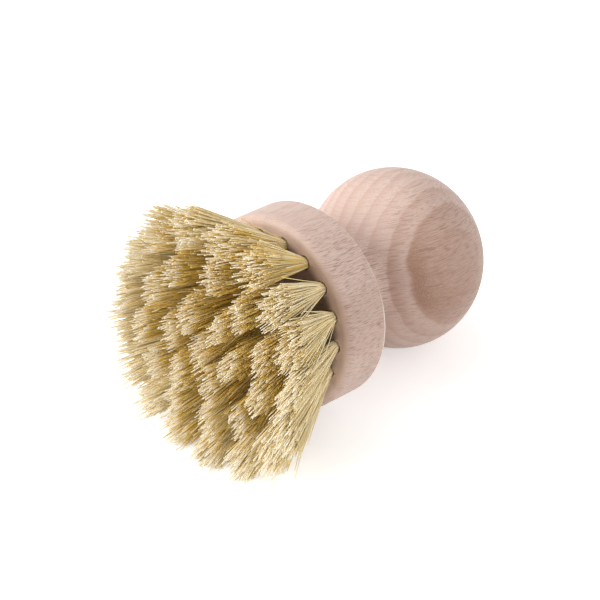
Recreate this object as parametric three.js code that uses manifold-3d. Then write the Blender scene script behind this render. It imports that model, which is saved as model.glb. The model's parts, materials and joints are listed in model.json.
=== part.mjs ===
// Pot brush: a turned beech body with a round head, a waisted neck and a ball knob. Tufts of stiff
// plant fibre are folded over wire staples in holes drilled in the head, and flare outwards.
// Each ring of tufts carries the slice of the head's face that it is set in.
// Millimetres. The brush is modelled upright, with the head's face at height 0 and the tufts above
// it, and is then laid on its side, where it rests on the knob and the lower edge of the bristles.
import * as THREE from 'three';
import { mergeVertices } from 'three/addons/utils/BufferGeometryUtils.js';
import Module from 'manifold-3d';

const wasm = await Module();
wasm.setup();

// Turned body
const headDiameter = 54;
const headThickness = 14;
const frontEdgeRound = 2.2;
const rearEdgeRound = 0.8;
const shoulderFillet = 6;
const neckDiameter = 26;
const neckStraight = 4.3;
const knobFillet = 8;
const knobDiameter = 50;
const knobLength = 46.6;

// Drilled face of the head
const faceRim = 0.4; // flat wood between the front edge and the slices
const sliceDepth = 1.2;
const holeDiameter = 3.8;
const holeMargin = 0.9; // slice beyond the outer holes
const holeFloor = 5; // wood left under a hole, along its axis
const ringSpacing = 7.2; // between rings of holes, before they are evened out
const tuftSpacing = 8; // between holes along a ring, before they are evened out
const ringTurn = -3.6; // degrees round the axis, from lying evenly on two tufts

// Fibre tufts
const tipCircleDiameter = 69.2;
const crownHeight = 28; // trimmed height over the middle of the face
const edgeHeight = 26; // trimmed height at the tip circle
const tipGapAcross = 4; // between the tips of neighbouring rings
const tipGapAlong = 0.6; // between the tips of neighbouring tufts of a ring
const strandRootDiameter = 0.8;
const strandTipDiameter = 1.5;
const strandMargin = 0.1; // strands to the edge of their hole
const coreStrands = 3;
const outerStrands = 9;
const restCut = 0.5; // flat on the lowest tips, where the brush lies on them

// Wire staples
const stapleWire = 0.6;
const stapleInset = 0.6; // leg to the wall of the hole
const stapleRise = 2.4; // top of the crown over the floor of the hole
const stapleBite = 3; // legs into the wood under the hole

const fit = 0.3; // clearance between pieces that seat on each other

// Facets
const bodySides = 48;
const sliceSides = 24;
const knobSteps = 13;
const filletSteps = 4;
const edgeSteps = 4;
const holeSides = 8;
const strandSides = 3;
const weldDistance = 0.0001;

// Turns a shape drawn about Y so that it stands along Z.
const standing = new THREE.Matrix4().makeBasis(
  new THREE.Vector3(1, 0, 0), new THREE.Vector3(0, 0, 1), new THREE.Vector3(0, -1, 0),
);

const beechFinish = { color: 0xd8b8a8, roughness: 0.55, metalness: 0 };
const fibreFinish = { color: 0xc9a468, roughness: 0.8, metalness: 0 };
const wireFinish = { color: 0xb9bcc0, roughness: 0.4, metalness: 1 };

const headRadius = headDiameter / 2;
const neckRadius = neckDiameter / 2;
const knobRadius = knobDiameter / 2;
const knobSquash = knobLength / knobDiameter;
const knobFilletRise = Math.sqrt((knobRadius + knobFillet) ** 2 - (neckRadius + knobFillet) ** 2);
const knobHeight = -(headThickness + shoulderFillet + neckStraight + knobFilletRise * knobSquash);
const wholeLength = crownHeight - knobHeight + knobLength / 2;

const recessRadius = headRadius - frontEdgeRound - faceRim;
const sliceFloor = fit - sliceDepth;
const holeRadius = holeDiameter / 2;
const holeDepth = headThickness - holeFloor;
const rootRadius = holeRadius - fit;
const outerRingRadius = recessRadius - holeMargin - holeRadius;
const ringTotal = Math.max(1, Math.round(outerRingRadius / ringSpacing));
const ringPitch = outerRingRadius / ringTotal;
const tipCircleRadius = tipCircleDiameter / 2;
const tipPitch = (tipCircleRadius + tipGapAcross / 2) / (ringTotal + 0.5);
const strandRootRadius = strandRootDiameter / 2;
const strandTipRadius = strandTipDiameter / 2;
const startTurn = THREE.MathUtils.degToRad(ringTurn);

// Closed solids from three.js geometry, and back
function solidOf(geometry, place = new THREE.Matrix4()) {
  const bare = geometry.clone().applyMatrix4(place);
  bare.deleteAttribute('normal');
  bare.deleteAttribute('uv');
  const welded = mergeVertices(bare, weldDistance);
  const corners = welded.index.array;
  const triVerts = [];
  for (let i = 0; i < corners.length; i += 3) {
    const [a, b, c] = corners.slice(i, i + 3);
    if (a !== b && b !== c && c !== a) triVerts.push(a, b, c);
  }
  return new wasm.Manifold(new wasm.Mesh({
    numProp: 3,
    vertProperties: welded.attributes.position.array,
    triVerts: Uint32Array.from(triVerts),
  }));
}

function geometryOf(solid) {
  const { vertProperties, triVerts } = solid.getMesh();
  const geometry = new THREE.BufferGeometry();
  geometry.setAttribute('position', new THREE.BufferAttribute(vertProperties, 3));
  geometry.setIndex(new THREE.BufferAttribute(triVerts, 1));
  geometry.computeVertexNormals();
  return geometry;
}

// Joins by pairs, so that each step handles small solids.
function joined(solids) {
  if (solids.length === 1) return solids[0];
  const middle = Math.ceil(solids.length / 2);
  return joined(solids.slice(0, middle)).add(joined(solids.slice(middle)));
}

// Body of revolution about Z. A flat, not a corner, faces +X, the side that the brush lies on.
function turned(profile, sides) {
  return new THREE.LatheGeometry(profile, sides, Math.PI / sides).applyMatrix4(standing);
}

function arc(radiusAt, heightAt, radius, from, to, steps) {
  const points = [];
  for (let i = 0; i <= steps; i += 1) {
    const angle = THREE.MathUtils.lerp(from, to, i / steps);
    const outwards = radius * Math.cos(angle);
    const upwards = radius * Math.sin(angle);
    points.push(new THREE.Vector2(radiusAt + outwards, heightAt + upwards));
  }
  return points;
}

// The knob is a ball and its fillet to the neck, drawn round and then squashed along the axis.
function knobProfile() {
  const filletAt = neckRadius + knobFillet;
  const meeting = Math.atan2(knobFilletRise, filletAt);
  const ball = arc(0, 0, knobRadius, -Math.PI / 2, meeting, knobSteps);
  const fillet = arc(filletAt, knobFilletRise, knobFillet, meeting + Math.PI, Math.PI, filletSteps);
  const round = [...ball, ...fillet.slice(1)];
  return round.map((point) => new THREE.Vector2(point.x, knobHeight + point.y * knobSquash));
}

function bodyProfile() {
  const quarter = Math.PI / 2;
  const shoulder = -headThickness;
  const coveAt = neckRadius + shoulderFillet;
  return [
    ...knobProfile(),
    ...arc(coveAt, shoulder - shoulderFillet, shoulderFillet, Math.PI, quarter, filletSteps),
    ...arc(headRadius - rearEdgeRound, shoulder + rearEdgeRound, rearEdgeRound, -quarter, 0, edgeSteps),
    ...arc(headRadius - frontEdgeRound, -frontEdgeRound, frontEdgeRound, 0, quarter, edgeSteps),
    new THREE.Vector2(recessRadius, 0),
    new THREE.Vector2(recessRadius, -sliceDepth),
    new THREE.Vector2(0, -sliceDepth),
  ];
}

// Trimmed height of the bristles at a distance from the axis
function trimHeight(radius) {
  return crownHeight - (crownHeight - edgeHeight) * (radius / tipCircleRadius) ** 2;
}

// Ring 0 is the single tuft in the middle. The tips of a tuft fan out further along the ring than
// across it.
function ringAt(index) {
  const rootDistance = index * ringPitch;
  const tipDistance = index * tipPitch;
  const count = index === 0 ? 1 : Math.round((2 * Math.PI * rootDistance) / tuftSpacing);
  const neighbour = count === 1 ? tipPitch : 2 * tipDistance * Math.sin(Math.PI / count);
  const tipHalfDepth = (tipPitch - tipGapAcross) / 2;
  const tipHalfWidth = (neighbour - tipGapAlong) / 2;
  const lean = Math.atan2(tipDistance - rootDistance, trimHeight(tipDistance));
  return { index, count, rootDistance, tipDistance, tipHalfDepth, tipHalfWidth, lean };
}

// Angles of a ring's tufts about the axis. The brush lies on the first and the last, either side of
// +X.
function tuftTurns(ring) {
  const step = (2 * Math.PI) / ring.count;
  return Array.from({ length: ring.count }, (_, i) => startTurn + (i + 0.5) * step);
}

// Frame of one hole: origin in the middle of its mouth, Z out along the tuft, Y along the ring
function holeFrame(ring, turn) {
  return new THREE.Matrix4()
    .makeRotationZ(turn)
    .multiply(new THREE.Matrix4().makeTranslation(ring.rootDistance, 0, 0))
    .multiply(new THREE.Matrix4().makeRotationY(ring.lean));
}

// Round bar along a hole, from a depth below its mouth to a height above it
function holeBar(radius, depth, above) {
  const length = depth + above;
  const bar = new THREE.CylinderGeometry(radius, radius, length, holeSides, 1, false, Math.PI / holeSides);
  return bar.applyMatrix4(standing).translate(0, 0, (above - depth) / 2);
}

// Staple with an all-round allowance, in the frame of its hole: legs down, width along the ring
function stapleGeometry(allowance) {
  const side = holeRadius - stapleInset + allowance;
  const inside = side - stapleWire - 2 * allowance;
  const top = stapleRise + allowance;
  const under = top - stapleWire - 2 * allowance;
  const foot = -stapleBite - allowance;
  const outline = new THREE.Shape();
  outline.moveTo(-side, foot).lineTo(-inside, foot).lineTo(-inside, under).lineTo(inside, under);
  outline.lineTo(inside, foot).lineTo(side, foot).lineTo(side, top).lineTo(-side, top).closePath();
  const thickness = stapleWire + 2 * allowance;
  const geometry = new THREE.ExtrudeGeometry(outline, { depth: thickness, bevelEnabled: false });
  const upright = new THREE.Matrix4().makeBasis(
    new THREE.Vector3(0, 1, 0), new THREE.Vector3(0, 0, 1), new THREE.Vector3(1, 0, 0),
  );
  return geometry.translate(0, 0, -thickness / 2).applyMatrix4(upright).translate(0, 0, -holeDepth);
}

// Drilled hole with the two slots that the staple's legs make in its floor
function holeGeometry() {
  const bore = solidOf(holeBar(holeRadius, holeDepth, sliceDepth));
  return geometryOf(bore.add(solidOf(stapleGeometry(fit))));
}

// Folded end of a tuft, with room for the staple's crown through the fold and for its legs beside it
function rootGeometry() {
  const bundle = solidOf(holeBar(rootRadius, holeDepth - fit, 0));
  return geometryOf(bundle.subtract(solidOf(stapleGeometry(fit))));
}

// Slides the upper end of a root along its hole until it is level with the underside of the slice.
function levelRoot(root, frame) {
  const way = new THREE.Vector3(0, 0, 1).transformDirection(frame);
  const placed = root.clone().applyMatrix4(frame);
  const points = placed.attributes.position;
  const point = new THREE.Vector3();
  for (let i = 0; i < points.count; i += 1) {
    if (root.attributes.position.getZ(i) > -weldDistance) {
      point.fromBufferAttribute(points, i);
      point.addScaledVector(way, (sliceFloor - point.z) / way.z);
      points.setXYZ(i, point.x, point.y, sliceFloor);
    }
  }
  return solidOf(placed);
}

function handleGeometry(rings) {
  const hole = holeGeometry();
  const frames = rings.flatMap((ring) => tuftTurns(ring).map((turn) => holeFrame(ring, turn)));
  const holes = joined(frames.map((frame) => solidOf(hole, frame)));
  return geometryOf(solidOf(turned(bodyProfile(), bodySides)).subtract(holes));
}

// Slice of the head's face that one ring of tufts is set in
function sliceSolid(ring) {
  const inner = (ring.index - 0.5) * ringPitch + fit / 2;
  const outer = ring.index === ringTotal ? recessRadius - fit : (ring.index + 0.5) * ringPitch - fit / 2;
  const corners = [[0, sliceFloor], [outer, sliceFloor], [outer, 0], [0, 0]];
  if (ring.index > 0) {
    corners[0][0] = inner;
    corners[3][0] = inner;
    corners.push([inner, sliceFloor]);
  }
  return solidOf(turned(corners.map(([radius, height]) => new THREE.Vector2(radius, height)), sliceSides));
}

// Strand from a point on the face to its tip. Its section and both its ends are level.
function strandGeometry(root, tip, angle) {
  const positions = [];
  for (const [end, radius] of [[root, strandRootRadius], [tip, strandTipRadius]]) {
    for (let i = 0; i < strandSides; i += 1) {
      const corner = angle + (i / strandSides) * 2 * Math.PI;
      positions.push(end.x + radius * Math.cos(corner), end.y + radius * Math.sin(corner), end.z);
    }
  }
  const index = [];
  for (let i = 0; i < strandSides; i += 1) {
    const next = (i + 1) % strandSides;
    index.push(i, next, strandSides + i, next, strandSides + next, strandSides + i);
  }
  for (let i = 1; i < strandSides - 1; i += 1) {
    index.push(0, i + 1, i, strandSides, strandSides + i, strandSides + i + 1);
  }
  const geometry = new THREE.BufferGeometry();
  geometry.setAttribute('position', new THREE.Float32BufferAttribute(positions, 3));
  return geometry.setIndex(index);
}

// One strand's place in its tuft is a share of the way out from the middle, and an angle.
function strand(ring, turn, share, angle) {
  const across = share * Math.cos(angle);
  const along = share * Math.sin(angle);
  const rootSpread = holeRadius - strandMargin - strandRootRadius;
  const tipAcross = (ring.tipHalfDepth - strandTipRadius) * across;
  const tipAlong = (ring.tipHalfWidth - strandTipRadius) * along;
  const root = new THREE.Vector3(ring.rootDistance + rootSpread * across, rootSpread * along, 0);
  const tip = new THREE.Vector3(ring.tipDistance + tipAcross, tipAlong, 0);
  tip.z = trimHeight(tip.length());
  return solidOf(strandGeometry(root, tip, angle), new THREE.Matrix4().makeRotationZ(turn));
}

// A circle of strands round the edge of the tuft and a closer one in its core
function tuftStrands(ring, turn) {
  const coreShare = coreStrands / outerStrands;
  const strands = [];
  for (let i = 0; i < outerStrands; i += 1) {
    strands.push(strand(ring, turn, 1, (i / outerStrands) * 2 * Math.PI));
  }
  for (let i = 0; i < coreStrands; i += 1) {
    strands.push(strand(ring, turn, coreShare, ((i + 0.5) / coreStrands) * 2 * Math.PI));
  }
  return joined(strands);
}

function ringGeometry(ring, ground) {
  const turns = tuftTurns(ring);
  const root = rootGeometry();
  const roots = joined(turns.map((turn) => levelRoot(root, holeFrame(ring, turn))));
  const strands = joined(turns.map((turn) => tuftStrands(ring, turn)));
  return geometryOf(sliceSolid(ring).add(roots).add(strands.subtract(ground)));
}

// Depth of the knob below its own middle, with the axis tilted up at the bristles
function knobDepth(tilt) {
  return Math.hypot(knobRadius * Math.cos(tilt), (knobLength / 2) * Math.sin(tilt));
}

// Tilt at which the knob and the flattened lowest tips touch the same level surface
function restingTilt(ring) {
  const restDistance = tipCircleRadius * Math.cos(Math.PI / ring.count + Math.abs(startTurn)) - restCut;
  const restHeight = trimHeight(restDistance);
  const settleSteps = 30;
  let tilt = 0;
  for (let i = 0; i < settleSteps; i += 1) {
    const climb = restDistance * Math.cos(tilt) - knobDepth(tilt);
    tilt = Math.asin(climb / (restHeight - knobHeight));
  }
  return tilt;
}

function pieceMesh(name, geometry, finish) {
  const mesh = new THREE.Mesh(geometry, new THREE.MeshStandardMaterial(finish));
  mesh.name = name;
  return mesh;
}

function stapleMeshes(rings) {
  const geometry = stapleGeometry(0);
  const meshes = [];
  for (const ring of rings) {
    for (const turn of tuftTurns(ring)) {
      const name = `staple_${String(meshes.length + 1).padStart(2, '0')}`;
      const mesh = pieceMesh(name, geometry, wireFinish);
      mesh.applyMatrix4(holeFrame(ring, turn));
      meshes.push(mesh);
    }
  }
  return meshes;
}

const rings = Array.from({ length: ringTotal + 1 }, (_, index) => ringAt(index));
const tilt = restingTilt(rings[ringTotal]);

const lying = new THREE.Group();
lying.rotation.y = Math.PI / 2 - tilt;
lying.updateMatrix();

// Block under the surface that the brush lies on, as seen from the upright brush
const groundSize = 2 * wholeLength;
const groundPlace = lying.matrix.clone().invert();
const groundLevel = knobHeight * Math.sin(tilt) - knobDepth(tilt);
groundPlace.multiply(new THREE.Matrix4().makeTranslation(0, 0, groundLevel - groundSize / 2));
const ground = solidOf(new THREE.BoxGeometry(groundSize, groundSize, groundSize), groundPlace);

lying.add(pieceMesh('handle', handleGeometry(rings), beechFinish));
for (const ring of rings) {
  const name = ring.index === 0 ? 'tuft_centre' : `tuft_ring_${ring.index}`;
  lying.add(pieceMesh(name, ringGeometry(ring, ground), fibreFinish));
}
lying.add(...stapleMeshes(rings));

// The origin is on that surface, under the middle of the brush.
const box = new THREE.Box3().setFromObject(lying, true);
const middle = box.getCenter(new THREE.Vector3());
lying.position.set(-middle.x, -middle.y, -box.min.z);

const potBrush = new THREE.Group();
potBrush.add(lying);

export default potBrush;
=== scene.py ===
import json
from math import atan2, cos, hypot, pi, radians, sin, sqrt, tan

import bpy
import numpy as np
from mathutils import Matrix, Vector
from mathutils.geometry import delaunay_2d_cdt


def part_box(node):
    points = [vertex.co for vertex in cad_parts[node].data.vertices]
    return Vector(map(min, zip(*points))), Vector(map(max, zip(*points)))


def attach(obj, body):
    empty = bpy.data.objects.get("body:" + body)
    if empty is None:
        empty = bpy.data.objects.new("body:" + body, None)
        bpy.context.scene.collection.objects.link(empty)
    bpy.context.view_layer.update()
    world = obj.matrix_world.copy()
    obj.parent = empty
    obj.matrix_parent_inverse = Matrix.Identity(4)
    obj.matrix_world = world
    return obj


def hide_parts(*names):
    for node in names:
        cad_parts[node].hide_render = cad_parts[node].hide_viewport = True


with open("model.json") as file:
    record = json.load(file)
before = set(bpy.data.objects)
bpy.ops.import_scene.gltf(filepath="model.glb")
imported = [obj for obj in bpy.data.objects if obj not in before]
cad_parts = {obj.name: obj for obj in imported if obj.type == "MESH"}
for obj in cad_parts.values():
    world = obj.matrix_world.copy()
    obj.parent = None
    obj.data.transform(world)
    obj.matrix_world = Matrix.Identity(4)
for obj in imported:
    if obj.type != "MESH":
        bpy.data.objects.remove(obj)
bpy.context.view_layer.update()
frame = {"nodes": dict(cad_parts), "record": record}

scene = bpy.context.scene
mm = 0.001

# turned body, in mm: its face at height 0, the neck and the knob below
body = {
    "headDiameter": 54,
    "headThickness": 14,
    "frontEdge": 2.2,       # radius
    "rearEdge": 0.8,        # radius
    "shoulderFillet": 6,
    "neckDiameter": 26,
    "neckStraight": 4.3,
    "knobFillet": 8,
    "knobDiameter": 50,
    "knobLength": 46.6,
    "sides": 240,
    "steps": {"knob": 60, "fillet": 16, "rearEdge": 6, "side": 7, "frontEdge": 8},
    "sharpAngle": 40,       # degrees
}

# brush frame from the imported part: its axis, and the middle of its face
shoulder = frame["record"]["mounts"][0]
axis = -Vector(shoulder["axis"])
stapleLow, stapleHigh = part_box("staple_01")
onAxis = (stapleLow + stapleHigh) / 2
toShoulder = (Vector(shoulder["pos_m"]) - onAxis).dot(axis)
faceCentre = onAxis + axis * (toShoulder + body["headThickness"] * mm)
across = Vector((0, 1, 0))
down = across.cross(axis)
place = Matrix((
    (down.x, across.x, axis.x, faceCentre.x),
    (down.y, across.y, axis.y, faceCentre.y),
    (down.z, across.z, axis.z, faceCentre.z),
    (0, 0, 0, 1),
))
print("brush frame", [round(value, 5) for value in faceCentre], [round(value, 5) for value in axis])


def turnedPoint(turn, x, y, z):
    return (x * cos(turn) - y * sin(turn), x * sin(turn) + y * cos(turn), z)


# faces between rings of points that follow each other
def ringQuads(first, rows, sides, inwards=False):
    quads = []
    for row in range(rows - 1):
        start = first + row * sides
        for i in range(sides):
            after = (i + 1) % sides
            quad = (start + i, start + after, start + sides + after, start + sides + i)
            quads.append(quad[::-1] if inwards else quad)
    return quads


# an object in the brush frame, from points in mm
def newObject(name, points, faces):
    mesh = bpy.data.meshes.new(name)
    mesh.from_pydata([(x * mm, y * mm, z * mm) for x, y, z in points], [], faces)
    mesh.shade_smooth()
    piece = bpy.data.objects.new(name, mesh)
    piece.matrix_world = place
    scene.collection.objects.link(piece)
    return piece


# where the tufts stand and lean, in mm: rings round the middle one
tufts = {
    "counts": (1, 6, 11, 17),
    "turn": -3.6,           # degrees
    "ringPitch": 7.2,       # at the face
    "tipPitch": 10.457,
    "tipCircle": 69.2,
    "crownHeight": 28,
    "edgeHeight": 26,
}


# bristles are trimmed to a low dome
def trimHeight(radius):
    drop = tufts["crownHeight"] - tufts["edgeHeight"]
    return tufts["crownHeight"] - drop * (radius / (tufts["tipCircle"] / 2)) ** 2


def tuftRings():
    rings = []
    for index, count in enumerate(tufts["counts"]):
        root, tip = index * tufts["ringPitch"], index * tufts["tipPitch"]
        turns = [radians(tufts["turn"]) + (i + 0.5) / count * 2 * pi for i in range(count)]
        lean = atan2(tip - root, trimHeight(tip))
        rings.append({"index": index, "root": root, "tip": tip, "turns": turns, "lean": lean})
    return rings


def arc(centreRadius, centreHeight, radius, start, end, steps):
    angles = np.linspace(start, end, steps + 1)
    return [(centreRadius + radius * cos(angle), centreHeight + radius * sin(angle)) for angle in angles]


# radius and height from the end of the knob up to the edge of the face
def bodyProfile():
    headRadius = body["headDiameter"] / 2
    neckRadius = body["neckDiameter"] / 2
    knobRadius = body["knobDiameter"] / 2
    squash = body["knobLength"] / body["knobDiameter"]
    filletRadius = body["knobFillet"]
    coveRadius = body["shoulderFillet"]
    steps = body["steps"]
    rise = sqrt((knobRadius + filletRadius) ** 2 - (neckRadius + filletRadius) ** 2)
    knobHeight = -(body["headThickness"] + coveRadius + body["neckStraight"] + rise * squash)
    meeting = atan2(rise, neckRadius + filletRadius)
    knob = arc(0, 0, knobRadius, -pi / 2, meeting, steps["knob"])
    knob += arc(neckRadius + filletRadius, rise, filletRadius, meeting + pi, pi, steps["fillet"])[1:]
    points = [(radius, knobHeight + height * squash) for radius, height in knob]
    back = -body["headThickness"]
    points += arc(neckRadius + coveRadius, back - coveRadius, coveRadius, pi, pi / 2, steps["fillet"])
    rear, front = body["rearEdge"], body["frontEdge"]
    points += arc(headRadius - rear, back + rear, rear, -pi / 2, 0, steps["rearEdge"])
    side = np.linspace(back + rear, -front, steps["side"] + 1)
    points += [(headRadius, height) for height in side[1:-1]]
    points += arc(headRadius - front, -front, front, 0, pi / 2, steps["frontEdge"])
    points[0] = (0, points[0][1])
    return points


# drilled holes, in mm
holes = {
    "diameter": 3.8,
    "depth": 9,
    "sides": 36,
    "burrHeight": 0.6,
    "burrReach": 1.45,      # share of the hole's radius
    "burrLeast": 0.3,
    "lumpSides": 6,         # sides from lump to lump of the burr
    "seed": 4,
}


# one hole: rings of points from its floor up to the torn rim, then out over the face
def holeRings(ring, turn, rng):
    sides = holes["sides"]
    radius = holes["diameter"] / 2
    slope = tan(ring["lean"])
    jag = rng.random(sides)
    jag = (jag + np.roll(jag, 1)) / 2
    lumpSides = holes["lumpSides"]
    lumpAt = np.arange(0, sides + 1, lumpSides)
    lump = np.interp(np.arange(sides), lumpAt, rng.random(sides // lumpSides + 1))
    burr = holes["burrHeight"] * jag ** 2 * (holes["burrLeast"] + lump)
    levels = (              # height, share of the radius, share of the burr
        (-holes["depth"], 1, 0),
        (-2, 1, 0),
        (-0.4, 1, 0),
        (0, 1.02, 0.7),
        (0, 1.14, 1),
        (0, holes["burrReach"], 0),
    )
    rows = []
    for height, scale, rise in levels:
        row = []
        for i in range(sides):
            angle = i / sides * 2 * pi
            x = ring["root"] + radius * scale * cos(angle) / cos(ring["lean"]) + slope * height
            row.append(turnedPoint(turn, x, radius * scale * sin(angle), height + rise * burr[i]))
        rows.append(row)
    return rows


# flat wood of the face, between its edge and the rims of the holes
def faceTriangles(points, loops, rings):
    ids = [i for loop in loops for i in loop]
    flat = [Vector(points[i][:2]) for i in ids]
    edges = []
    start = 0
    for loop in loops:
        edges += [(start + i, start + (i + 1) % len(loop)) for i in range(len(loop))]
        start += len(loop)
    made = delaunay_2d_cdt(flat, edges, [], 0, 1e-6)
    back = [ids[origin[0]] for origin in made[3]]
    centres = [turnedPoint(turn, ring["root"], 0, 0) for ring in rings for turn in ring["turns"]]
    reach = holes["diameter"] / 2 * holes["burrReach"] * 0.97    # a little inside the rim
    kept = []
    for triangle in made[2]:
        middle = sum((made[0][i] for i in triangle), Vector((0, 0))) / 3
        if all(hypot(middle.x - x, middle.y - y) > reach for x, y, _ in centres):
            kept.append(tuple(back[i] for i in triangle))
    return kept


# turned faces take the first material, the drilled face and its holes the second, which holds painted shade
def turnedBody(rings):
    rng = np.random.default_rng(holes["seed"])
    sides = body["sides"]
    profile = bodyProfile()
    points = [(0, 0, profile[0][1])]
    for radius, height in profile[1:]:
        points += [turnedPoint(i / sides * 2 * pi, radius, 0, height) for i in range(sides)]
    faces = [(0, 1 + (i + 1) % sides, 1 + i) for i in range(sides)]
    faces += ringQuads(1, len(profile) - 1, sides)
    loops = [list(range(len(points) - sides, len(points)))]
    holeFaces = []
    for ring in rings:
        for turn in ring["turns"]:
            rows = holeRings(ring, turn, rng)
            count = holes["sides"]
            first = len(points)
            for row in rows:
                points += row
            holeFaces.append(tuple(range(first, first + count)))
            holeFaces += ringQuads(first, len(rows), count, inwards=True)
            loops.append(list(range(len(points) - count, len(points))))
    holeFaces += faceTriangles(points, loops, rings)
    piece = newObject("turned_body", points, faces + holeFaces)
    piece.data.set_sharp_from_angle(angle=radians(body["sharpAngle"]))
    slots = np.zeros(len(faces) + len(holeFaces), int)
    slots[len(faces):] = 1
    piece.data.polygons.foreach_set("material_index", slots)
    return piece


# fibres of a tuft, in mm: pairs are the least and the most
fibres = {
    "count": 450,
    "thickness": (0.17, 0.32),
    "rootDiameter": 3.0,
    "rootDepth": 4,
    "width": 11,                    # of a tuft at its tips, down the brush
    "widthSpread": (0.9, 1.1),
    "depth": 4.6,                   # of a tuft at its tips, across the brush
    "depthSpread": (0.85, 1.1),
    "outerWidth": (0.8, 1.4),       # outermost ring: shares at its top and foot, and at its sides
    "outerDepth": (1, 2),           # outermost ring: shares at its sides, and at its top and foot
    # the outer ring's higher tone is painted light: its fibres paler where the lamps reach them, the inner
    # rings deeper gold in the shade among the tufts
    "inner": {"tall": 0.2, "loose": 0.34, "tone": 0.04},
    "outer": {"tall": 0.24, "loose": 0.136, "tone": 0.48},
    "tallDrop": (-2.2, 0.8),        # below the trimmed height
    "shortDrop": (0.8, 4.4),
    "looseDrop": (0, 4),
    "looseWidth": (0.9, 1.25),
    "looseDepth": (1.2, 2.3),
    "jitter": 0.06,                 # share of the tuft's radius
    "clumps": 44,
    "clumpCircle": 0.95,
    "clumping": 0.5,
    "skew": 0.15,                   # radians
    "shift": 0.6,
    "heightSpread": 0.4,
    "bow": 0.2,
    "wild": 0.01,
    "wildReach": 3,
    "wildRise": 0.3,                # share of the reach along the axis
    "wildBow": 2,
    "floorGap": 0.3,
    "toneSpread": 0.9,              # from fibre to fibre
    "tuftTone": 0.1,                # from tuft to tuft
    "tallPale": (0.7, 1),
    "shortPale": (0, 0.2),
    "taper": (0.8, 1),
    "cutSlant": 0.08,
    "steps": (0, 0.5, 1),           # from the hole's mouth to the tip
    "sides": 4,
    "seed": 11,
}


def discPoints(angle, share):
    return np.stack([share * np.cos(angle), share * np.sin(angle)], 1)


# where the fibres stand in a tuft of radius 1: evenly at its root, drawn into clumps at its tips
def fibreSpots(rng):
    count, clumps = fibres["count"], fibres["clumps"]
    share = np.sqrt((np.arange(count) + 0.5) / count)
    goldenAngle = pi * (3 - sqrt(5))
    spot = discPoints(np.arange(count) * goldenAngle + rng.random() * 2 * pi, share)
    spot += rng.normal(0, fibres["jitter"], spot.shape)
    clumpAngle = rng.random(clumps) * 2 * pi
    clump = discPoints(clumpAngle, np.sqrt(rng.random(clumps)) * fibres["clumpCircle"])
    nearest = clump[np.argmin(((spot[:, None] - clump[None]) ** 2).sum(2), 1)]
    tipSpot = spot + (nearest - spot) * fibres["clumping"] * rng.random((count, 1))
    return spot, tipSpot


# one tuft: where each fibre runs, how thick it is, its tone and how pale its tip is
def tuftPaths(ring, turn, rng):
    count = fibres["count"]
    outermost = ring["index"] == len(tufts["counts"]) - 1
    kind = fibres["outer"] if outermost else fibres["inner"]
    spot, tipSpot = fibreSpots(rng)

    # some stand tall with pale ends, most end lower, loose ones fill the gaps to the next tuft
    tall = rng.random(count) < kind["tall"]
    loose = ~tall & (rng.random(count) < kind["loose"])
    tipSpot[:, 0] *= np.where(loose, rng.uniform(*fibres["looseWidth"], count), 1)
    tipSpot[:, 1] *= np.where(loose, rng.uniform(*fibres["looseDepth"], count), 1)
    tallDrop = rng.uniform(*fibres["tallDrop"], count)
    drop = np.where(tall, tallDrop, rng.uniform(*fibres["shortDrop"], count))
    drop += np.where(loose, rng.uniform(*fibres["looseDrop"], count), 0)

    # all tufts fan out along the same line, whatever their place in the ring
    width = fibres["width"] * rng.uniform(*fibres["widthSpread"])
    depth = fibres["depth"] * rng.uniform(*fibres["depthSpread"])
    if outermost:
        width *= np.interp(abs(sin(turn)), (0, 1), fibres["outerWidth"])
        depth *= np.interp(abs(cos(turn)), (0, 1), fibres["outerDepth"])
    skew = turn + rng.normal(0, fibres["skew"])
    skewed = np.array([[cos(skew), -sin(skew)], [sin(skew), cos(skew)]])
    root = spot * fibres["rootDiameter"] / 2 @ skewed
    fan = (tipSpot * np.array([width, depth]) / 2 + rng.normal(0, fibres["shift"], 2)) @ skewed
    mouth = np.stack([ring["root"] + root[:, 0], root[:, 1], np.zeros(count)], 1)
    tip = np.stack([ring["tip"] + fan[:, 0], fan[:, 1], np.zeros(count)], 1)
    trimmed = trimHeight(np.hypot(tip[:, 0], tip[:, 1]))
    tip[:, 2] = trimmed + rng.normal(0, fibres["heightSpread"]) - drop
    wild = rng.random(count) < fibres["wild"]
    stray = rng.normal(0, fibres["wildReach"], (wild.sum(), 3))
    tip[wild] += stray * np.array([1, 1, fibres["wildRise"]])

    inside = mouth - np.array([tan(ring["lean"]), 0, 1]) * fibres["rootDepth"]
    steps = np.array(fibres["steps"])
    paths = mouth[:, None] + (tip - mouth)[:, None] * steps[None, :, None]
    bow = rng.normal(0, fibres["bow"], (count, 1, 3)) * np.array([1, 1, 0])
    bow[wild] *= fibres["wildBow"]
    paths += bow * np.sin(pi * steps)[None, :, None]
    paths = np.concatenate([inside[:, None], paths], 1)
    paths = paths @ np.array([[cos(turn), sin(turn), 0], [-sin(turn), cos(turn), 0], [0, 0, 1]])

    # none goes through the floor
    upright = np.array([down.z, across.z, axis.z])
    height = paths @ upright + faceCentre.z / mm
    paths += np.maximum(fibres["floorGap"] - height, 0)[..., None] * upright

    radius = rng.uniform(*fibres["thickness"], count) / 2
    # the ring's base tone, raised for the outer ring, is painted light
    tone = kind["tone"] + rng.random(count) * fibres["toneSpread"] + rng.normal(0, fibres["tuftTone"])
    tallPale = rng.uniform(*fibres["tallPale"], count)
    paleness = np.where(tall, tallPale, rng.uniform(*fibres["shortPale"], count))
    return paths, radius, np.clip(tone, 0, 1), paleness


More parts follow.
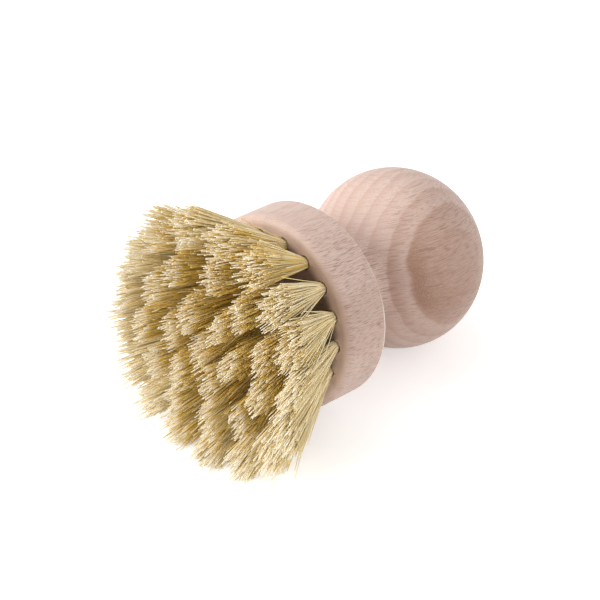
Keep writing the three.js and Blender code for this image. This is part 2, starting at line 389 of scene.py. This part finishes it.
# thin tubes with cut ends; their attribute holds tone, place along the fibre, cut end and paleness
def fibreObject(name, ring, rng):
    made = zip(*(tuftPaths(ring, turn, rng) for turn in ring["turns"]))
    paths, radius, tone, paleness = (np.concatenate(values) for values in made)
    count, length = paths.shape[:2]
    sides = fibres["sides"]
    tangent = np.gradient(paths, axis=1)
    tangent /= np.linalg.norm(tangent, axis=2, keepdims=True)
    side = np.cross(tangent, rng.normal(0, 1, (count, 1, 3)))
    side /= np.linalg.norm(side, axis=2, keepdims=True)
    other = np.cross(tangent, side)
    angle = (np.arange(sides) / sides * 2 * pi)[None, None, :, None]
    reach = radius[:, None, None, None] * np.linspace(*fibres["taper"], length)[None, :, None, None]
    wall = paths[:, :, None] + reach * (side[:, :, None] * np.cos(angle) + other[:, :, None] * np.sin(angle))
    wall[:, -1] += tangent[:, -1][:, None] * rng.normal(0, fibres["cutSlant"], (count, sides, 1))
    points = np.concatenate([wall, wall[:, -1:]], 1).reshape(-1, 3)
    base = (np.arange(count) * (length + 1) * sides)[:, None]
    quads = (base[:, None] + np.array(ringQuads(0, length, sides))[None]).reshape(-1, 4)
    ends = base + length * sides + np.arange(sides)[None]
    piece = newObject(name, points.tolist(), quads.tolist() + ends.tolist())
    data = np.ones((count, length + 1, sides, 4))
    data[..., 0] = tone[:, None, None]
    data[:, :length, :, 1] = np.array((0, *fibres["steps"]))[None, :, None]
    data[:, :length, :, 2] = 0
    data[..., 3] = paleness[:, None, None]
    layer = piece.data.attributes.new("fibre", "FLOAT_COLOR", "POINT")
    layer.data.foreach_set("color", data.ravel())
    return piece


def material(name):
    made = bpy.data.materials.new(name)
    made.use_nodes = True
    return made, made.node_tree, made.node_tree.nodes["Principled BSDF"]


# links a socket, or sets a number, vector or colour
def feed(tree, socket, value):
    if isinstance(value, bpy.types.NodeSocket):
        tree.links.new(value, socket)
    elif isinstance(value, tuple) and len(socket.default_value) == 4:
        socket.default_value = (*value, 1)
    else:
        socket.default_value = value


def calc(tree, operation, first, second=0.0):
    node = tree.nodes.new("ShaderNodeMath")
    node.operation = operation
    feed(tree, node.inputs[0], first)
    feed(tree, node.inputs[1], second)
    return node.outputs[0]


def plus(tree, first, second):
    return calc(tree, "ADD", first, second)


def minus(tree, first, second):
    return calc(tree, "SUBTRACT", first, second)


def times(tree, first, *others):
    for other in others:
        first = calc(tree, "MULTIPLY", first, other)
    return first


def vectorCalc(tree, operation, first, second=(0, 0, 0)):
    node = tree.nodes.new("ShaderNodeVectorMath")
    node.operation = operation
    feed(tree, node.inputs[0], first)
    feed(tree, node.inputs[1], second)
    return node.outputs["Value" if operation in ("DOT_PRODUCT", "LENGTH") else "Vector"]


def ramp(tree, value, ends, levels, interpolation="LINEAR"):
    node = tree.nodes.new("ShaderNodeMapRange")
    node.interpolation_type = interpolation
    feed(tree, node.inputs["Value"], value)
    node.inputs["From Min"].default_value, node.inputs["From Max"].default_value = ends
    node.inputs["To Min"].default_value, node.inputs["To Max"].default_value = levels
    return node.outputs["Result"]


def step(tree, value, ends, levels=(0, 1)):
    return ramp(tree, value, ends, levels, "SMOOTHSTEP")


# up over one stretch and down again over the next
def band(tree, value, rise, fall):
    return minus(tree, step(tree, value, rise), step(tree, value, fall))


def mix(tree, factor, first, second):
    node = tree.nodes.new("ShaderNodeMix")
    node.data_type = "RGBA"
    feed(tree, node.inputs[0], factor)
    feed(tree, node.inputs[6], first)
    feed(tree, node.inputs[7], second)
    return node.outputs[2]


def noise(tree, vector, scale, detail=2.0):
    node = tree.nodes.new("ShaderNodeTexNoise")
    node.inputs["Scale"].default_value = 1
    node.inputs["Detail"].default_value = detail
    feed(tree, node.inputs["Vector"], vectorCalc(tree, "MULTIPLY", vector, scale))
    return node.outputs["Fac"]


# 1 for rays that show the background, 0 for those that light the brush
def seenRay(tree):
    rays = tree.nodes.new("ShaderNodeLightPath").outputs
    mirrored = calc(tree, "MAXIMUM", rays["Is Glossy Ray"], rays["Is Transmission Ray"])
    return calc(tree, "MAXIMUM", rays["Is Camera Ray"], mirrored)


# beech grain in the brush frame, in mm. Pairs are where an effect starts and ends, or its shares there
grain = {
    "pale": (0.67, 0.51, 0.44),
    "late": (0.52, 0.325, 0.25),
    "heartAndShade": (0.29, 0.145, 0.085),
    "fleck": (0.27, 0.145, 0.10),
    # near-white of the painted highlight on the rear edge of the head
    "paintedEdgeHighlight": (0.93, 0.84, 0.77),
    "knobFrom": (18, 26),                       # behind the face
    "layerFacing": (-0.319, 0.947, 0.027),
    "layerAcross": (-0.948, -0.319, 0),
    "layerWidth": 4.0,
    "layerStart": 17.6,                         # from the axis
    "layerBends": (                             # noise scale, reach
        ((0.06, 0.06, 0.03), 4),
        ((0.4, 0.4, 0.12), 0.8),
    ),
    "lineRise": (0, 0.08),                      # shares of a layer
    "lineFall": (0.08, 0.75),
    "lineShare": (0.25, 0.9),                   # on the head, on the knob
    "ovalFrom": (-0.6, 1.2),                    # past the outline of the oval
    "ovalShare": 0.378,
    "ovalLines": (                              # rise, fall, share
        ((-0.6, 0.7), (0.7, 6.5), 0.414),
        ((-4.2, -3.5), (-3.5, -0.2), 0.27),
    ),
    "ovalTop": (-23, -7),                       # down the brush
    "ovalFoot": (-1, 8),
    "ovalFade": (0.35, 1),
    "endFrom": (46, 66),                        # behind the face
    "endFade": (1, 0.3),
    "aroundFrom": (-7.4, -0.4),                 # past the outline of the oval
    "aroundShare": 0.216,
    "heartShare": (0.1, 1),                     # on the head, on the knob
    "headShadeTop": (-19, -12),                     # painted shade on the head, down the brush
    "headShadeFoot": (-4, 6),
    "headShadeShare": 0.198,
    "fleckScale": (7.5, 0.12, 0.4),
    "fleckDetail": 1,
    "fleckFrom": (0.52, 0.64),
    "fleckFacing": (0.3, 0.9),                  # 0 where layers are cut edge on, 1 where flat
    "fleckShare": (0.16, 0.71),
    "streakScale": (4.2, 4.2, 0.06),
    "streakDetail": 3,
    "streakFrom": (0.4, 0.66),
    "streakShare": 0.5,
    "edgeHighlightBehind": (13.0, 13.5),                 # rear edge of the head, where a highlight is painted
    "edgeHighlightRadius": (25.4, 26.4),
    "edgeHighlightFrom": (-14, -5),                      # down the brush
    "edgeHighlightShare": (0.1, 0.9),
    "streakHeight": 0.4,
    "bump": 0.3,
    "bumpDistance": 0.0002,                     # metres
}


def beechGrain():
    tree = bpy.data.node_groups.new("beechGrain", "ShaderNodeTree")
    for name in ("Figure", "Flecks"):
        socket = tree.interface.new_socket(name, in_out="INPUT", socket_type="NodeSocketFloat")
        socket.default_value = 1
    tree.interface.new_socket("Color", in_out="OUTPUT", socket_type="NodeSocketColor")
    for name in ("Height", "Radius"):
        tree.interface.new_socket(name, in_out="OUTPUT", socket_type="NodeSocketFloat")
    inputs = tree.nodes.new("NodeGroupInput").outputs
    outputs = tree.nodes.new("NodeGroupOutput").inputs
    coords = tree.nodes.new("ShaderNodeTexCoord").outputs
    spot = vectorCalc(tree, "MULTIPLY", coords["Object"], (1 / mm, 1 / mm, 1 / mm))
    split = tree.nodes.new("ShaderNodeSeparateXYZ")
    feed(tree, split.inputs[0], spot)
    downwards, height = split.outputs["X"], split.outputs["Z"]
    behind = times(tree, height, -1)
    radius = vectorCalc(tree, "LENGTH", vectorCalc(tree, "MULTIPLY", spot, (1, 1, 0)))
    onKnob = step(tree, behind, grain["knobFrom"])

    # growth layers: dark where each starts, fading inwards
    depth = vectorCalc(tree, "DOT_PRODUCT", spot, grain["layerFacing"])
    for scale, reach in grain["layerBends"]:
        bend = minus(tree, noise(tree, spot, scale), 0.5)
        depth = plus(tree, depth, times(tree, bend, reach))
    inward = minus(tree, depth, grain["layerStart"])
    phase = calc(tree, "FRACT", calc(tree, "DIVIDE", inward, grain["layerWidth"]))
    line = band(tree, phase, grain["lineRise"], grain["lineFall"])
    line = times(tree, line, ramp(tree, onKnob, (0, 1), grain["lineShare"]))

    # dark oval where the turning cuts through a layer, fading to its top, its foot and the knob's end
    oval = step(tree, inward, grain["ovalFrom"], (0, grain["ovalShare"]))
    for rise, fall, share in grain["ovalLines"]:
        oval = plus(tree, oval, times(tree, band(tree, inward, rise, fall), share))
    fade = band(tree, downwards, grain["ovalTop"], grain["ovalFoot"])
    fade = ramp(tree, fade, (0, 1), grain["ovalFade"])
    oval = times(tree, oval, fade, step(tree, behind, grain["endFrom"], grain["endFade"]))
    around = step(tree, inward, grain["aroundFrom"], (0, grain["aroundShare"]))
    heartShare = ramp(tree, onKnob, (0, 1), grain["heartShare"])
    heartAndShade = times(tree, plus(tree, oval, around), heartShare)
    # painted shade: the head darker over a stretch down the brush, in the heart's dark colour
    headShade = band(tree, downwards, grain["headShadeTop"], grain["headShadeFoot"])
    heartAndShade = plus(tree, heartAndShade, times(tree, headShade, minus(tree, 1, onKnob), grain["headShadeShare"]))

    # rays: thin sheets along the axis and across the layers, seen edge on as short dashes
    ray = tree.nodes.new("ShaderNodeCombineXYZ")
    feed(tree, ray.inputs["X"], vectorCalc(tree, "DOT_PRODUCT", spot, grain["layerAcross"]))
    feed(tree, ray.inputs["Y"], depth)
    feed(tree, ray.inputs["Z"], height)
    fleck = noise(tree, ray.outputs[0], grain["fleckScale"], grain["fleckDetail"])
    fleck = step(tree, fleck, grain["fleckFrom"])
    facing = vectorCalc(tree, "DOT_PRODUCT", coords["Normal"], grain["layerFacing"])
    facing = calc(tree, "ABSOLUTE", facing)
    fleck = times(tree, fleck, step(tree, facing, grain["fleckFacing"], grain["fleckShare"]))
    streak = noise(tree, spot, grain["streakScale"], grain["streakDetail"])
    streaked = step(tree, streak, grain["streakFrom"], (0, grain["streakShare"]))

    # painted highlight along the rear edge of the head, stronger on its lower part
    rear = times(tree, step(tree, behind, grain["edgeHighlightBehind"]), step(tree, radius, grain["edgeHighlightRadius"]))
    paintedEdgeHighlight = times(tree, rear, step(tree, downwards, grain["edgeHighlightFrom"], grain["edgeHighlightShare"]))

    colour = mix(tree, times(tree, line, inputs["Figure"]), grain["pale"], grain["late"])
    colour = mix(tree, heartAndShade, colour, grain["heartAndShade"])
    colour = mix(tree, streaked, colour, grain["late"])
    colour = mix(tree, times(tree, fleck, inputs["Flecks"]), colour, grain["fleck"])
    feed(tree, outputs["Color"], mix(tree, paintedEdgeHighlight, colour, grain["paintedEdgeHighlight"]))
    feed(tree, outputs["Height"], minus(tree, times(tree, streak, grain["streakHeight"]), fleck))
    feed(tree, outputs["Radius"], radius)


# turned wood, and the drilled face with painted shade: darker between the tufts than near its edge
woods = {
    "beech": {"figure": 0.5, "flecks": 1, "roughness": 0.5},
    "beechFacePaintedShade": {
        "figure": 0.2,
        "flecks": 0.6,
        "roughness": 0.8,
        # painted shade: dark brown where the tufts shade the face
        "paintedFaceShade": (0.10, 0.052, 0.03),
        "paintedFaceShadeFrom": (20.5, 23.4),       # mm from the axis
        "paintedFaceShadeShare": (0.85, 0.1),
    },
}


def beechMaterial(name):
    wood = woods[name]
    made, tree, shader = material(name)
    group = tree.nodes.new("ShaderNodeGroup")
    group.node_tree = bpy.data.node_groups["beechGrain"]
    group.inputs["Figure"].default_value = wood["figure"]
    group.inputs["Flecks"].default_value = wood["flecks"]
    colour = group.outputs["Color"]
    if "paintedFaceShade" in wood:
        # painted shade between the tufts, fading out towards the face's edge
        share = step(tree, group.outputs["Radius"], wood["paintedFaceShadeFrom"], wood["paintedFaceShadeShare"])
        colour = mix(tree, share, colour, wood["paintedFaceShade"])
    feed(tree, shader.inputs["Base Color"], colour)
    shader.inputs["Roughness"].default_value = wood["roughness"]
    bump = tree.nodes.new("ShaderNodeBump")
    bump.inputs["Strength"].default_value = grain["bump"]
    bump.inputs["Distance"].default_value = grain["bumpDistance"]
    feed(tree, bump.inputs["Height"], group.outputs["Height"])
    feed(tree, shader.inputs["Normal"], bump.outputs["Normal"])
    return made


# plant fibre: golden below, pale at the tips of the tall ones
fibreLook = {
    "dark": (0.63, 0.455, 0.11),
    "gold": (0.90, 0.65, 0.16),
    "straw": (0.99, 0.86, 0.57),
    "tip": (0.99, 0.92, 0.77),
    "cut": (0.99, 0.91, 0.74),
    "goldTone": (0, 0.4),
    "strawTone": (0.4, 1),
    "tipFrom": (0.91, 0.97),    # along the fibre
    "roughness": 0.5,
    "specular": 0.2,
}


def fibreMaterial():
    made, tree, shader = material("fibre")
    layer = tree.nodes.new("ShaderNodeAttribute")
    layer.attribute_name = "fibre"
    split = tree.nodes.new("ShaderNodeSeparateColor")
    feed(tree, split.inputs[0], layer.outputs["Color"])
    tone, along, cut = split.outputs
    pale = layer.outputs["Alpha"]
    tip = times(tree, step(tree, along, fibreLook["tipFrom"]), pale)
    colour = mix(tree, step(tree, tone, fibreLook["goldTone"]), fibreLook["dark"], fibreLook["gold"])
    colour = mix(tree, step(tree, tone, fibreLook["strawTone"]), colour, fibreLook["straw"])
    colour = mix(tree, tip, colour, fibreLook["tip"])
    colour = mix(tree, times(tree, cut, pale), colour, fibreLook["cut"])
    feed(tree, shader.inputs["Base Color"], colour)
    shader.inputs["Roughness"].default_value = fibreLook["roughness"]
    shader.inputs["Specular IOR Level"].default_value = fibreLook["specular"]
    return made


# drawn steel wire of the staples
wireLook = {
    "dull": (0.5, 0.5, 0.5),
    "bright": (0.68, 0.68, 0.66),
    "streakScale": (9000, 9000, 400),
    "roughness": 0.35,
}


def wireMaterial():
    made, tree, shader = material("stapleWire")
    coords = tree.nodes.new("ShaderNodeTexCoord").outputs["Object"]
    streak = noise(tree, coords, wireLook["streakScale"])
    feed(tree, shader.inputs["Base Color"], mix(tree, streak, wireLook["dull"], wireLook["bright"]))
    shader.inputs["Metallic"].default_value = 1
    shader.inputs["Roughness"].default_value = wireLook["roughness"]
    return made


rings = tuftRings()
beechGrain()
handle = turnedBody(rings)
for name in woods:
    handle.data.materials.append(beechMaterial(name))
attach(handle, "root")
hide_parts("handle")
print("body", len(handle.data.polygons), "faces")

fibre = fibreMaterial()
rng = np.random.default_rng(fibres["seed"])
for ring in rings:
    node = "tuft_centre" if ring["index"] == 0 else f"tuft_ring_{ring['index']}"
    piece = fibreObject(node.replace("tuft", "fibres"), ring, rng)
    piece.data.materials.append(fibre)
    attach(piece, "root")
    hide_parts(node)
    print(piece.name, len(piece.data.polygons), "faces")

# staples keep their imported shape
wire = wireMaterial()
staples = [node for name, node in frame["nodes"].items() if name.startswith("staple_")]
for staple in staples:
    staple.data.materials.clear()
    staple.data.materials.append(wire)
print("staples", len(staples))

# white floor and surround: lifted for the rays that show them, so that the brush isn't overlit
studio = {
    "floorSize": 8,                     # metres
    "floorColour": (0.96, 0.96, 0.96),
    "floorRoughness": 0.9,
    "floorLift": 0.43,
    "surround": (0.63, 1),              # strength as light, and as seen
}
bpy.ops.mesh.primitive_plane_add(size=studio["floorSize"])
floor = bpy.context.object
floor.name = "floor"
floorMaterial, floorTree, floorShader = material("paleFloor")
feed(floorTree, floorShader.inputs["Base Color"], studio["floorColour"])
floorShader.inputs["Roughness"].default_value = studio["floorRoughness"]
floorShader.inputs["Specular IOR Level"].default_value = 0
floorShader.inputs["Emission Color"].default_value = (1, 1, 1, 1)
lift = times(floorTree, seenRay(floorTree), studio["floorLift"])
feed(floorTree, floorShader.inputs["Emission Strength"], lift)
floor.data.materials.append(floorMaterial)

world = bpy.data.worlds.new("studio")
scene.world = world
world.use_nodes = True
worldTree = world.node_tree
backdrop = worldTree.nodes["Background"]
backdrop.inputs["Color"].default_value = (1, 1, 1, 1)
strength = ramp(worldTree, seenRay(worldTree), (0, 1), studio["surround"])
feed(worldTree, backdrop.inputs["Strength"], strength)

# camera, aimed a little right of and above the middle of the face
view = {
    "lens": 137,                        # mm
    "sensor": 36,                       # mm
    "distance": 0.594363,               # metres
    "azimuth": 43.58,                   # degrees
    "elevation": 34.63,                 # degrees
    "offset": (0.006994, 0.003876),     # right and up, in metres
}
azimuth, elevation = radians(view["azimuth"]), radians(view["elevation"])
toCamera = Vector((cos(elevation) * cos(azimuth), cos(elevation) * sin(azimuth), sin(elevation)))
right = Vector((-sin(azimuth), cos(azimuth), 0))
up = toCamera.cross(right)
aim = faceCentre + right * view["offset"][0] + up * view["offset"][1]
cameraData = bpy.data.cameras.new("camera")
cameraData.lens = view["lens"]
cameraData.sensor_width = view["sensor"]
camera = bpy.data.objects.new("camera", cameraData)
camera.location = aim + toCamera * view["distance"]
camera.rotation_euler = toCamera.to_track_quat("Z", "Y").to_euler()
scene.collection.objects.link(camera)
scene.camera = camera
scene.view_settings.view_transform = "Standard"
print("camera", [round(value, 4) for value in camera.location])

# lamps: power in watts, size and distance in metres, direction as right, up and towards the camera
lamps = {
    "key": {"power": 1.0, "size": 0.55, "distance": 1.0, "direction": (-0.25, 0.87, 0.42)},
    "left": {"power": 9.2, "size": 0.7, "distance": 1.0, "direction": (-0.8, 0.24, 0.55)},
    "right": {"power": 1.7, "size": 0.7, "distance": 0.9, "direction": (0.75, -0.1, 0.65)},
    "rim": {"power": 1.8, "size": 0.6, "distance": 0.8, "direction": (0.8, 0.15, -0.58)},
}
for name, lamp in lamps.items():
    data = bpy.data.lights.new(name, "AREA")
    data.energy = lamp["power"]
    data.size = lamp["size"]
    source = bpy.data.objects.new(name, data)
    sideways, upwards, nearer = lamp["direction"]
    way = (right * sideways + up * upwards + toCamera * nearer).normalized()
    source.location = way * lamp["distance"]
    source.rotation_euler = way.to_track_quat("Z", "Y").to_euler()
    scene.collection.objects.link(source)
print("lamps", len(lamps))
